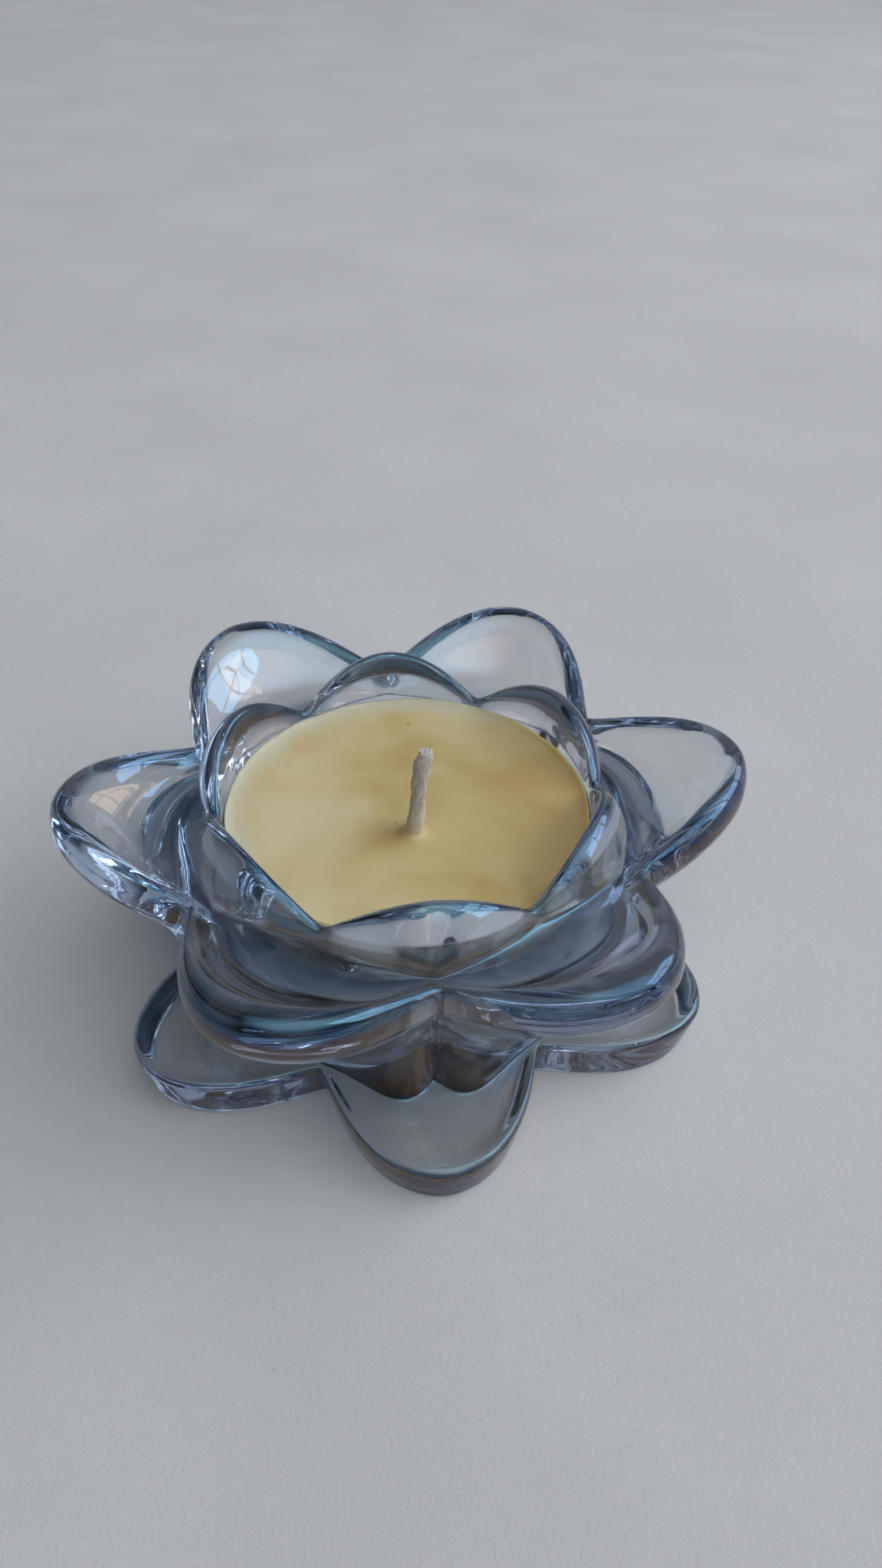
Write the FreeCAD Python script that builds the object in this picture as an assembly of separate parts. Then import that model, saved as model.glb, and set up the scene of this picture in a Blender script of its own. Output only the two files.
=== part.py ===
import FreeCAD, Part
import math
import os
from collections import namedtuple

# Lotus candle holder: one pressed-glass flower with a base tier, a middle tier and a rim tier of
# six petals each, filled with a poured wax candle that lifts out when it is spent.
# Millimetres. The origin is on the table under the middle of the flower, +Z is up, and +X runs
# through the tip of a middle-tier petal. Base-tier and rim-tier petals point half way between
# the middle-tier ones, so one of each points along +Y and one along -Y.

# ---- driving dimensions ----------------------------------------------------------------------
PETALS = 6
HALF_PETAL = 180.0 / PETALS

# Each tier's edge line: radius and height at a petal's tip and in the notch between two petals.
BASE_TIP_R, BASE_TIP_Z = 51.0, 7.6
BASE_NOTCH_R, BASE_NOTCH_Z = 34.3, 6.6
MID_TIP_R, MID_TIP_Z = 55.0, 36.4
MID_NOTCH_R, MID_NOTCH_Z = 39.6, 29.8
RIM_TIP_R, RIM_TIP_Z = 30.9, 42.9
RIM_DIP_R, RIM_DIP_Z = 30.3, 35.2

TIER_FULLNESS = 1.3      # exponent of a broad petal: 1 is round, more is pointed
RIM_FULLNESS = 0.9
RIM_DIP_ROUNDING = 0.12  # how softly the dip between two rim petals is rounded
HEEL = 3.7               # how far a middle petal's two heels stand out over the base tier
HEEL_PLACE = 2.3         # puts the heels about 22 degrees each side of the petal's middle

CUP_R = 27.0             # inner wall just above the floor; it opens a little towards the mouth
CUP_FLOOR_FLAT_R = 23.0
CUP_FLOOR_Z = 11.0
CUP_FLOOR_ROUND = 4.0
RECESS_R, RECESS_DEPTH = 24.0, 1.4

# The wax stays at least 0.2 inside the cup all round, the air gap left when it cools and shrinks.
WAX_FLOOR_R = 22.8
WAX_LOW_R, WAX_LOW_Z = 26.5, 15.0
WAX_HIGH_R, WAX_HIGH_Z = 28.5, 29.0
WAX_TOP_R, WAX_LEVEL_Z = 28.8, 34.0
WAX_TOP_BEVEL = 0.6

WICK_R = 1.5
WICK_Y = -6.4            # the wick was set off centre when the wax was poured
WICK_BEND_Z = 33.0
WICK_BEND_R = 14.0
WICK_TIP = (2.0, -6.7, 50.0)
TAB_R, TAB_THICK = 8.0, 0.3
TAB_NECK_R, TAB_NECK_HEIGHT = 1.85, 4.0

# ---- the flower's surface as closed rings ------------------------------------------------------
# A ring is one closed curve round the flower. It is given by radius and height on a middle
# petal's centre line (mid) and on a base petal's centre line (base). Its lobes follow either the
# middle tier (pointed between middle petals) or the base tier (pointed between base petals).
Ring = namedtuple("Ring", "lobes fullness mid base heel rounding", defaults=(0.0, 0.0))


def mid_ring(mid, base, heel=0.0, fullness=TIER_FULLNESS):
    return Ring("mid", fullness, mid, base, heel)


def base_ring(mid, base, heel=0.0):
    return Ring("base", TIER_FULLNESS, mid, base, heel)


def rim_ring(mid, base):
    return Ring("base", RIM_FULLNESS, mid, base, 0.0, RIM_DIP_ROUNDING)


def round_ring(radius, height):
    return rim_ring((radius, height), (radius, height))


def lobe_share(ring, angle):
    """0 in the notch of the ring's lobes, 1 at their tips; angle in degrees from a mid petal."""
    turn = math.radians(angle * PETALS / 2)
    wave = math.cos(turn) if ring.lobes == "mid" else math.sin(turn)
    soft = ring.rounding
    wave = (math.hypot(max(wave, 0.0), soft) - soft) / (math.hypot(1.0, soft) - soft)
    return wave ** ring.fullness


def ring_point(ring, angle):
    """Point of a ring at an angle between 0 (mid petal) and HALF_PETAL (base petal)."""
    share = lobe_share(ring, angle)
    notch, tip = (ring.base, ring.mid) if ring.lobes == "mid" else (ring.mid, ring.base)
    bulge = ring.heel * math.sin(math.pi * (angle / HALF_PETAL) ** HEEL_PLACE)
    radius = notch[0] + (tip[0] - notch[0]) * share + bulge
    height = notch[1] + (tip[1] - notch[1]) * share
    turn = math.radians(angle)
    return FreeCAD.Vector(radius * math.cos(turn), radius * math.sin(turn), height)


BASE_FOOT = base_ring((31.8, 0), (48.4, 0))
BASE_EDGE = base_ring((BASE_NOTCH_R, BASE_NOTCH_Z), (BASE_TIP_R, BASE_TIP_Z))
NECK_FOOT = base_ring((33.2, 8.0), (33.9, 8.0), HEEL)
MID_UNDER_EDGE = mid_ring((53.8, 33.8), (38.4, 27.4))
MID_EDGE = mid_ring((MID_TIP_R, MID_TIP_Z), (MID_NOTCH_R, MID_NOTCH_Z))
CUP_FOOT = mid_ring((31.6, 32.6), (35.4, 32.2), fullness=1.0)
RIM_CREST = rim_ring((RIM_DIP_R, RIM_DIP_Z), (RIM_TIP_R, RIM_TIP_Z))
CUP_FLOOR = round_ring(CUP_FLOOR_FLAT_R, CUP_FLOOR_Z)

# Each strip of the surface runs from one edge ring to the next; the rings between steer it.
STRIPS = [
    # side wall of the base tier, rounded under at the table
    [BASE_FOOT,
     base_ring((32.6, 0), (49.3, 0)),
     base_ring((32.8, 1.5), (49.6, 1.5)),
     BASE_EDGE],
    # top of the base petals: a tight shoulder, then a shallow dish up to the neck
    [BASE_EDGE,
     base_ring((34.3, 8.1), (51.0, 9.3)),
     base_ring((33.9, 8.3), (48.6, 9.1), 0.5),
     base_ring((33.7, 8.2), (43.5, 7.5), 1.5),
     base_ring((33.5, 8.1), (38.5, 7.6), 2.6),
     NECK_FOOT],
    # neck and underside of the middle petals, creased under each notch
    [NECK_FOOT,
     mid_ring((35.2, 13.0), (33.4, 14.0), 3.2),
     mid_ring((39.5, 20.0), (33.5, 21.0), 2.4),
     mid_ring((47.5, 27.6), (35.0, 25.2), 1.0),
     MID_UNDER_EDGE],
    # side wall of the middle tier
    [MID_UNDER_EDGE,
     mid_ring((54.3, 34.6), (38.8, 28.2)),
     mid_ring((54.8, 35.5), (39.3, 29.1)),
     MID_EDGE],
    # top of the middle petals: a wide rolled shoulder, then a spoon-shaped hollow
    [MID_EDGE,
     mid_ring((55.0, 39.4), (39.8, 32.2)),
     mid_ring((53.4, 41.9), (39.3, 34.4)),
     mid_ring((48.4, 41.0), (38.3, 34.6)),
     mid_ring((43.4, 32.0), (37.2, 33.2)),
     mid_ring((36.0, 31.0), (36.2, 32.5), fullness=1.2),
     CUP_FOOT],
    # outside of the rim petals, bulging between the foot and the crest
    [CUP_FOOT,
     rim_ring((31.6, 33.6), (36.2, 34.6)),
     rim_ring((31.4, 34.6), (34.7, 38.8)),
     rim_ring((31.0, 35.2), (32.3, 42.6)),
     RIM_CREST],
    # inside of the rim petals, blending into the round cup
    [RIM_CREST,
     rim_ring((29.6, 34.9), (29.9, 42.9)),
     rim_ring((29.2, 34.0), (29.3, 39.0)),
     round_ring(29.2, 34.0),
     round_ring(28.6, 28.0),
     round_ring(27.4, 19.0),
     round_ring(CUP_R, CUP_FLOOR_Z + CUP_FLOOR_ROUND),
     round_ring(25.8, CUP_FLOOR_Z),
     CUP_FLOOR],
]

# ---- B-spline faces through the rings ------------------------------------------------------------
DEGREE = 3
POLES_PER_HALF_PETAL = 13


def knot_values(pole_count):
    """Evenly spaced knots and their multiplicities for a clamped B-spline."""
    spans = pole_count - DEGREE
    knots = [index / spans for index in range(spans + 1)]
    repeats = [DEGREE + 1] + [1] * (spans - 1) + [DEGREE + 1]
    return knots, repeats


def pole_angles():
    """Angles of the poles across half a petal, closer together at its two ends."""
    knots, repeats = knot_values(POLES_PER_HALF_PETAL)
    full = [knot for knot, count in zip(knots, repeats) for _ in range(count)]
    means = [sum(full[i + 1:i + 1 + DEGREE]) / DEGREE for i in range(POLES_PER_HALF_PETAL)]
    return [HALF_PETAL * mean for mean in means]


def ring_poles(ring):
    """Poles of a ring over half a petal, square to the mirror plane where the lobes are round."""
    angles = pole_angles()
    poles = [ring_point(ring, angle) for angle in angles]
    heel_free = ring.heel == 0
    if ring.lobes == "mid" or ring.rounding:
        poles[1] = square_pole(poles[0], 0.0, angles[1])
    if (ring.lobes == "base" and heel_free) or ring.rounding:
        poles[-2] = square_pole(poles[-1], HALF_PETAL, angles[-2])
    return poles


def square_pole(end, end_angle, angle):
    """The pole at an angle that leaves the mirror plane through end at a right angle."""
    reach = math.hypot(end.x, end.y) / math.cos(math.radians(angle - end_angle))
    turn = math.radians(angle)
    return FreeCAD.Vector(reach * math.cos(turn), reach * math.sin(turn), end.z)


def strip_face(strip):
    """Face of one strip over half a petal."""
    poles = [ring_poles(ring) for ring in strip]
    knots_along, repeats_along = knot_values(len(strip))
    knots_round, repeats_round = knot_values(POLES_PER_HALF_PETAL)
    surface = Part.BSplineSurface()
    surface.buildFromPolesMultsKnots(poles, repeats_along, repeats_round, knots_along,
                                     knots_round, False, False, DEGREE, DEGREE)
    return surface.toShape()


def ring_edge(ring):
    """Boundary edge of a ring over half a petal."""
    knots, repeats = knot_values(POLES_PER_HALF_PETAL)
    curve = Part.BSplineCurve()
    curve.buildFromPolesMultsKnots(ring_poles(ring), repeats, knots, False, DEGREE)
    return curve.toShape()


def all_round(shape):
    """The twelve copies of a half-petal shape that close the flower."""
    origin = FreeCAD.Vector(0, 0, 0)
    twin = shape.mirror(origin, FreeCAD.Vector(0, 1, 0))
    copies = []
    for petal in range(PETALS):
        for half in (shape, twin):
            copy = half.copy()
            copy.rotate(origin, FreeCAD.Vector(0, 0, 1), petal * 2 * HALF_PETAL)
            copies.append(copy)
    return copies


def flat_face(ring):
    """Flat face that fills a level ring."""
    edges = Part.sortEdges(all_round(ring_edge(ring)))[0]
    return Part.Face(Part.Wire(edges))


def turned(profile):
    """Solid of revolution of a closed profile of (radius, height) points about the Z axis."""
    points = [FreeCAD.Vector(radius, 0, height) for radius, height in profile]
    face = Part.Face(Part.makePolygon(points + points[:1]))
    return face.revolve(FreeCAD.Vector(0, 0, 0), FreeCAD.Vector(0, 0, 1), 360)


def fill_closed(faces):
    """One solid inside a closed set of faces."""
    shell = Part.makeShell(faces)
    shell.sewShape()
    solid = Part.makeSolid(shell)
    if solid.Volume < 0:
        solid.reverse()
    return solid


# ---- the pieces -----------------------------------------------------------------------------------
def make_lotus_glass():
    faces = [flat_face(BASE_FOOT), flat_face(CUP_FLOOR)]
    for strip in STRIPS:
        faces += all_round(strip_face(strip))
    flower = fill_closed(faces)
    # the underside is slightly hollow, so that the glass stands on its outer ring
    dome_radius = (RECESS_R ** 2 + RECESS_DEPTH ** 2) / (2 * RECESS_DEPTH)
    dome = Part.makeSphere(dome_radius, FreeCAD.Vector(0, 0, RECESS_DEPTH - dome_radius))
    return flower.cut(dome)


def make_wick():
    """Cotton wick: straight up out of the tab and through the wax, then leaning to its cut end."""
    start = FreeCAD.Vector(0, WICK_Y, CUP_FLOOR_Z + TAB_THICK)
    bend = FreeCAD.Vector(0, WICK_Y, WICK_BEND_Z)
    tip = FreeCAD.Vector(*WICK_TIP)
    up = FreeCAD.Vector(0, 0, 1)
    lean = (tip - bend).normalize()
    turn = up.getAngle(lean)
    reach = WICK_BEND_R * math.tan(turn / 2)
    arc_start = bend - up * reach
    arc_end = bend + lean * reach
    inward = (lean - up).normalize()
    arc_middle = bend + inward * (WICK_BEND_R / math.cos(turn / 2) - WICK_BEND_R)
    path = Part.Wire([
        Part.LineSegment(start, arc_start).toShape(),
        Part.Arc(arc_start, arc_middle, arc_end).toShape(),
        Part.LineSegment(arc_end, tip).toShape(),
    ])
    section = Part.Wire(Part.makeCircle(WICK_R, start, up))
    return path.makePipeShell([section], True, False)


def make_wick_tab():
    """Tinplate wick tab: a disc on the cup floor with a neck crimped round the wick."""
    foot = FreeCAD.Vector(0, WICK_Y, CUP_FLOOR_Z)
    neck_foot = FreeCAD.Vector(0, WICK_Y, CUP_FLOOR_Z + TAB_THICK)
    disc = Part.makeCylinder(TAB_R, TAB_THICK, foot)
    neck = Part.makeCylinder(TAB_NECK_R, TAB_NECK_HEIGHT, neck_foot)
    bore = Part.makeCylinder(WICK_R, TAB_NECK_HEIGHT, neck_foot)
    return disc.fuse(neck.cut(bore)).removeSplitter()


def make_wax_fill(wick, tab):
    """Poured wax: the inside of the cup less the air gap, set round the wick and its tab."""
    body = turned([
        (0, CUP_FLOOR_Z),
        (WAX_FLOOR_R, CUP_FLOOR_Z),
        (WAX_LOW_R, WAX_LOW_Z),
        (WAX_HIGH_R, WAX_HIGH_Z),
        (WAX_TOP_R, WAX_LEVEL_Z - WAX_TOP_BEVEL),
        (WAX_TOP_R - WAX_TOP_BEVEL, WAX_LEVEL_Z),
        (0, WAX_LEVEL_Z),
    ])
    return body.cut(wick).cut(tab)


def main():
    os.makedirs("parts", exist_ok=True)
    wick = make_wick()
    tab = make_wick_tab()
    pieces = {
        "lotus_glass": make_lotus_glass(),
        "wax_fill": make_wax_fill(wick, tab),
        "wick": wick,
        "wick_tab": tab,
    }
    for name, shape in pieces.items():
        shape.exportStep("parts/" + name + ".step")
        box = shape.BoundBox
        size = [round(length, 2) for length in (box.XLength, box.YLength, box.ZLength)]
        print(name, "valid", shape.isValid(), "solids", len(shape.Solids),
              "volume", round(shape.Volume), "size", size)


main()
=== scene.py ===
import bpy
import math
import numpy as np
from collections import namedtuple
from mathutils import Matrix, Vector, noise


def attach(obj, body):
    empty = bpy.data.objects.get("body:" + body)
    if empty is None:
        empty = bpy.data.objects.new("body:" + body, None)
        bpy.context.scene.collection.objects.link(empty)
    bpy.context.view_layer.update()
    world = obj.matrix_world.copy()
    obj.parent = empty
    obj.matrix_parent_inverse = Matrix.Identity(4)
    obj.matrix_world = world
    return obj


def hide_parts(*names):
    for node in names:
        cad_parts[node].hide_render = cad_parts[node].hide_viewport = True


# Lotus candle holder of smoky lustred glass with a poured wax candle.
# Shapes are in millimetres, like the CAD part, and new_mesh() turns them into metres. Materials work in
# the object's own space, in metres.

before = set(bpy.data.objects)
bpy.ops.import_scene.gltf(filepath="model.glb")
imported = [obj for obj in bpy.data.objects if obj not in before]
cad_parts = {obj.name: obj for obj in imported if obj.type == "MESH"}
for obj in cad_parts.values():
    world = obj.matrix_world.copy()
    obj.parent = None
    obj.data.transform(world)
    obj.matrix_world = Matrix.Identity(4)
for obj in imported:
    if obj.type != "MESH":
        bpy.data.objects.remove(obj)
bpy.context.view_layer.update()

MM = 0.001

# ---- camera, first, at the place the object is seen from -------------------------------------
CAMERA_EYE_MM = (-15.8, -147.6, 159.6)
CAMERA_PITCH = math.radians(39.24)     # below the horizon
CAMERA_HEADING = math.radians(8.149)   # clockwise from +Y
CAMERA_ROLL = math.radians(-0.84)
CAMERA_LENS = 28.04


def make_camera():
    data = bpy.data.cameras.new("camera")
    data.lens = CAMERA_LENS
    data.sensor_width = 36.0
    data.clip_start = 0.005
    camera = bpy.data.objects.new("camera", data)
    bpy.context.scene.collection.objects.link(camera)
    tilt = Matrix.Rotation(math.pi / 2 - CAMERA_PITCH, 4, "X")
    heading = Matrix.Rotation(-CAMERA_HEADING, 4, "Z")
    roll = Matrix.Rotation(-CAMERA_ROLL, 4, "Z")
    place = Matrix.Translation(Vector(CAMERA_EYE_MM) * MM)
    camera.matrix_world = place @ heading @ tilt @ roll
    bpy.context.scene.camera = camera


# ---- mesh helpers ------------------------------------------------------------------------------
def new_mesh(name, points_mm, faces, material):
    mesh = bpy.data.meshes.new(name)
    mesh.from_pydata([tuple(point) for point in np.asarray(points_mm) * MM], [], faces)
    mesh.validate()
    mesh.update()
    for polygon in mesh.polygons:
        polygon.use_smooth = True
    mesh.materials.append(material)
    piece = bpy.data.objects.new(name, mesh)
    bpy.context.scene.collection.objects.link(piece)
    return piece


def closed_tube(rows):
    """Points and faces of a closed skin: rows of equal rings, the first and last shrunk to points."""
    count = rows.shape[1]
    rings = rows[1:-1]
    points = np.vstack([rows[0, :1], rings.reshape(-1, 3), rows[-1, :1]])
    last = len(points) - 1
    faces = []
    for column in range(count):
        beside = (column + 1) % count
        faces.append((0, 1 + beside, 1 + column))
        for row in range(len(rings) - 1):
            low = 1 + row * count
            high = low + count
            faces.append((low + column, low + beside, high + beside, high + column))
        top = 1 + (len(rings) - 1) * count
        faces.append((top + column, top + beside, last))
    return points, faces


def wobble(points, scale, seed):
    """Smooth repeatable noise, about -1 to 1, at each point; scale is the wavelength in mm."""
    shift = Vector((seed * 17.3, seed * 5.1, seed * 9.7))
    return np.array([noise.noise(Vector(point) / scale + shift) for point in points])


def waves(points, parts):
    """Sum of wobbles, each given as its height, wavelength in mm and seed."""
    return sum(height * wobble(points, wavelength, seed) for height, wavelength, seed in parts)


def eased(even, crowding):
    """Even places from 0 to 1, moved by a share of the way to a spacing that is close at both ends."""
    return (1.0 - crowding) * even + crowding * (0.5 - 0.5 * np.cos(math.pi * even))


def circle_turns(count):
    return np.linspace(0.0, 2 * math.pi, count, endpoint=False)


def level_ring(centre, radius, turns, height):
    """Points round a centre at one height; the radius is one number, or one for each point."""
    across = centre[0] + radius * np.cos(turns)
    back = centre[1] + radius * np.sin(turns)
    return np.stack([across, back, np.full_like(turns, height)], axis=1)


# ---- the flower's rings, as in the CAD part -----------------------------------------------------
PETALS = 6
HALF_PETAL = 180.0 / PETALS
BASE_TIP = (51.0, 7.6)
BASE_NOTCH = (34.3, 6.6)
MID_TIP = (55.0, 36.4)
MID_NOTCH = (39.6, 29.8)
RIM_TIP = (30.9, 42.9)
RIM_DIP = (30.3, 35.2)
TIER_FULLNESS = 1.3        # power of the cosine that shapes a petal's outline
RIM_FULLNESS = 0.9
RIM_DIP_ROUNDING = 0.12    # how softly the rim dips between its petals
HEEL = 3.7                 # how far the middle petals' heels stand out of the neck
HEEL_PLACE = 2.3           # power that moves each heel from the middle of half a petal towards its notch
CUP_FLOOR_R, CUP_FLOOR_Z = 23.0, 11.0
RECESS_R, RECESS_DEPTH = 24.0, 1.4

# A closed ring round the flower. It has its petals at the middle tier's tips or at the base tier's, and
# mid and base are its radius and height at those two angles. A heel bulges out between the two, and
# rounding softens the notches.
Ring = namedtuple("Ring", "lobes fullness mid base heel rounding", defaults=(0.0, 0.0))
Strip = namedtuple("Strip", "name rows rings")


def mid_ring(mid, base, heel=0.0, fullness=TIER_FULLNESS):
    return Ring("mid", fullness, mid, base, heel)


def base_ring(mid, base, heel=0.0):
    return Ring("base", TIER_FULLNESS, mid, base, heel)


def rim_ring(mid, base):
    return Ring("base", RIM_FULLNESS, mid, base, 0.0, RIM_DIP_ROUNDING)


def round_ring(radius, height):
    return rim_ring((radius, height), (radius, height))


BASE_FOOT = base_ring((31.8, 0), (48.4, 0))
BASE_EDGE = base_ring(BASE_NOTCH, BASE_TIP)
NECK_FOOT = base_ring((33.2, 8.0), (33.9, 8.0), HEEL)
MID_UNDER_EDGE = mid_ring((53.8, 33.8), (38.4, 27.4))
MID_EDGE = mid_ring(MID_TIP, MID_NOTCH)
CUP_FOOT = mid_ring((31.6, 32.6), (35.4, 32.2), fullness=1.0)
RIM_CREST = rim_ring(RIM_DIP, RIM_TIP)
CUP_FLOOR = round_ring(CUP_FLOOR_R, CUP_FLOOR_Z)

# The flower's surface from the foot to the cup floor, as strips with their rows of mesh and their rings.
STRIPS = [
    Strip("base_wall", 13, [
        BASE_FOOT,
        base_ring((32.6, 0), (49.3, 0)),
        base_ring((32.8, 1.5), (49.6, 1.5)),
        BASE_EDGE]),
    Strip("base_top", 20, [
        BASE_EDGE,
        base_ring((34.3, 8.1), (51.0, 9.3)),
        base_ring((33.9, 8.3), (48.6, 9.1), 0.5),
        base_ring((33.7, 8.2), (43.5, 7.5), 1.5),
        base_ring((33.5, 8.1), (38.5, 7.6), 2.6),
        NECK_FOOT]),
    Strip("neck", 26, [
        NECK_FOOT,
        mid_ring((35.2, 13.0), (33.4, 14.0), 3.2),
        mid_ring((39.5, 20.0), (33.5, 21.0), 2.4),
        mid_ring((47.5, 27.6), (35.0, 25.2), 1.0),
        MID_UNDER_EDGE]),
    Strip("mid_wall", 11, [
        MID_UNDER_EDGE,
        mid_ring((54.3, 34.6), (38.8, 28.2)),
        mid_ring((54.8, 35.5), (39.3, 29.1)),
        MID_EDGE]),
    Strip("mid_top", 26, [
        MID_EDGE,
        mid_ring((55.0, 39.4), (39.8, 32.2)),
        mid_ring((53.4, 41.9), (39.3, 34.4)),
        mid_ring((48.4, 41.0), (38.3, 34.6)),
        mid_ring((43.4, 32.0), (37.2, 33.2)),
        mid_ring((36.0, 31.0), (36.2, 32.5), fullness=1.2),
        CUP_FOOT]),
    Strip("rim_outside", 20, [
        CUP_FOOT,
        rim_ring((31.6, 33.6), (36.2, 34.6)),
        rim_ring((31.4, 34.6), (34.7, 38.8)),
        rim_ring((31.0, 35.2), (32.3, 42.6)),
        RIM_CREST]),
    Strip("inside", 34, [
        RIM_CREST,
        rim_ring((29.6, 34.9), (29.9, 42.9)),
        rim_ring((29.2, 34.0), (29.3, 39.0)),
        round_ring(29.2, 34.0),
        round_ring(28.6, 28.0),
        round_ring(27.4, 19.0),
        round_ring(27.0, 15.0),
        round_ring(25.8, CUP_FLOOR_Z),
        CUP_FLOOR]),
]

DEGREE = 3
POLES_PER_HALF_PETAL = 13
COLUMNS_PER_HALF_PETAL = 20
COLUMN_CROWDING = 0.5
ROW_CROWDING = 0.6
DENSE_ROWS = 48            # rows per strip before the edges are softened
EDGE_SOFTNESS = 0.42       # mm, how far fire-polishing has rounded the moulded edges

FlatRows = namedtuple("FlatRows", "recess foot cup_floor")
FINE_FLATS = FlatRows(5, 6, 6)
DENSE_FLATS = FlatRows(12, 24, 24)

# The mould's web in the crease under each notch of the middle tier.
RIB_HEIGHT = 0.45
RIB_HALF_WIDTH, RIB_SIDE_FADE = 1.0, 0.8
RIB_LOW_Z, RIB_LOW_FADE = 8.6, 2.0
RIB_HIGH_Z, RIB_HIGH_FADE = 27.0, 4.0

# The mould's slight waviness, left off the foot and the inside of the cup.
WAVER_DEPTH = 0.13
WAVER = [(0.10, 13.0, 1), (0.035, 5.0, 2)]
STEADY_FOOT_Z = 3.0
STEADY_CUP_R, STEADY_CUP_Z = 30.0, 10.0


def full_knots(pole_count):
    spans = pole_count - DEGREE
    inner = [index / spans for index in range(1, spans)]
    return np.array([0.0] * (DEGREE + 1) + inner + [1.0] * (DEGREE + 1))


def spline_weights(pole_count, places):
    """Weight of each pole of a clamped cubic B-spline at each place from 0 to 1."""
    knots = full_knots(pole_count)
    just_below_one = 1.0 - 1e-9
    places = np.clip(places, 0.0, just_below_one)[:, None]
    weights = ((knots[:-1] <= places) & (places < knots[1:])).astype(float)
    for degree in range(1, DEGREE + 1):
        size = len(knots) - 1 - degree
        right_knots = knots[degree + 1:degree + 1 + size]
        left_gap = knots[degree:degree + size] - knots[:size]
        right_gap = right_knots - knots[1:1 + size]
        left = (places - knots[:size]) / np.where(left_gap > 0, left_gap, 1.0)
        right = (right_knots - places) / np.where(right_gap > 0, right_gap, 1.0)
        weights = (weights[:, :size] * left * (left_gap > 0)
                   + weights[:, 1:size + 1] * right * (right_gap > 0))
    return weights


def pole_angles():
    knots = full_knots(POLES_PER_HALF_PETAL)
    means = [knots[i + 1:i + 1 + DEGREE].mean() for i in range(POLES_PER_HALF_PETAL)]
    return HALF_PETAL * np.array(means)


def lobe_share(ring, angle):
    """How far a ring has swung from its notch, 0, to its tip, 1, at an angle in degrees."""
    turn = math.radians(angle * PETALS / 2)
    wave = math.cos(turn) if ring.lobes == "mid" else math.sin(turn)
    soft = ring.rounding
    wave = (math.hypot(max(wave, 0.0), soft) - soft) / (math.hypot(1.0, soft) - soft)
    return wave ** ring.fullness


def ring_point(ring, angle):
    share = lobe_share(ring, angle)
    notch, tip = (ring.base, ring.mid) if ring.lobes == "mid" else (ring.mid, ring.base)
    bulge = ring.heel * math.sin(math.pi * (angle / HALF_PETAL) ** HEEL_PLACE)
    radius = notch[0] + (tip[0] - notch[0]) * share + bulge
    height = notch[1] + (tip[1] - notch[1]) * share
    turn = math.radians(angle)
    return (radius * math.cos(turn), radius * math.sin(turn), height)


def square_pole(end, end_angle, angle):
    """A pole beside an end pole, placed so that the ring meets its mirror image with no corner."""
    reach = math.hypot(end[0], end[1]) / math.cos(math.radians(angle - end_angle))
    turn = math.radians(angle)
    return (reach * math.cos(turn), reach * math.sin(turn), end[2])


def ring_poles(ring):
    angles = pole_angles()
    poles = [ring_point(ring, angle) for angle in angles]
    if ring.lobes == "mid" or ring.rounding:
        poles[1] = square_pole(poles[0], 0.0, angles[1])
    if (ring.lobes == "base" and ring.heel == 0) or ring.rounding:
        poles[-2] = square_pole(poles[-1], HALF_PETAL, angles[-2])
    return poles


def row_places(count):
    """Places along a strip; the last one is left to the next strip."""
    return eased(np.linspace(0.0, 1.0, count + 1)[:-1], ROW_CROWDING)


def dense_places(_):
    return np.linspace(0.0, 1.0, DENSE_ROWS + 1)[:-1]


def strip_surface(rings, rows, columns):
    """Points of the surface lofted through the rings, at places along it and across half a petal."""
    poles = np.array([ring_poles(ring) for ring in rings])
    along = spline_weights(len(rings), rows)
    across = spline_weights(POLES_PER_HALF_PETAL, columns)
    return np.einsum("rp,cq,pqk->rck", along, across, poles)


def flat_rows(outer, radii_share, heights):
    """Rows inside a ring: the ring drawn in towards the axis by each share, at each height."""
    rows = []
    for share, height in zip(radii_share, heights):
        row = outer * share
        row[:, 2] = height
        rows.append(row)
    return np.array(rows)


def underside_rows(foot, flats):
    """From the centre of the domed recess out to the foot ring."""
    angles = np.arctan2(foot[:, 1], foot[:, 0])
    circle = np.stack([np.cos(angles), np.sin(angles), np.zeros_like(angles)], axis=1) * RECESS_R
    dome_r = (RECESS_R ** 2 + RECESS_DEPTH ** 2) / (2 * RECESS_DEPTH)
    shares = np.linspace(0.0, 1.0, flats.recess + 1)[:-1]
    heights = np.sqrt(dome_r ** 2 - (shares * RECESS_R) ** 2) - (dome_r - RECESS_DEPTH)
    recess = flat_rows(circle, shares, heights)
    outward = np.linspace(0.0, 1.0, flats.foot + 1)[:-1, None, None]
    return np.concatenate([recess, circle[None] * (1 - outward) + foot[None] * outward])


def floor_rows(edge, count):
    shares = np.linspace(1.0, 0.0, count + 1)
    return flat_rows(edge, shares, np.full(count + 1, CUP_FLOOR_Z))


def half_petal_rows(places_of, flats):
    """Rows of points over half a petal, from the middle of the underside to the middle of the cup floor."""
    columns = eased(np.linspace(0.0, 1.0, COLUMNS_PER_HALF_PETAL + 1), COLUMN_CROWDING)
    surfaces = [strip_surface(strip.rings, places_of(strip.rows), columns) for strip in STRIPS]
    foot = strip_surface(STRIPS[0].rings, np.array([0.0]), columns)[0]
    edge = strip_surface(STRIPS[-1].rings, np.array([1.0]), columns)[0]
    return np.concatenate([underside_rows(foot, flats)] + surfaces + [floor_rows(edge, flats.cup_floor)])


def run_length(profile):
    """Distance along a profile from its first point to each point."""
    steps = np.linalg.norm(np.diff(profile, axis=0), axis=1)
    return np.concatenate([[0.0], np.cumsum(steps)])


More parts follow.
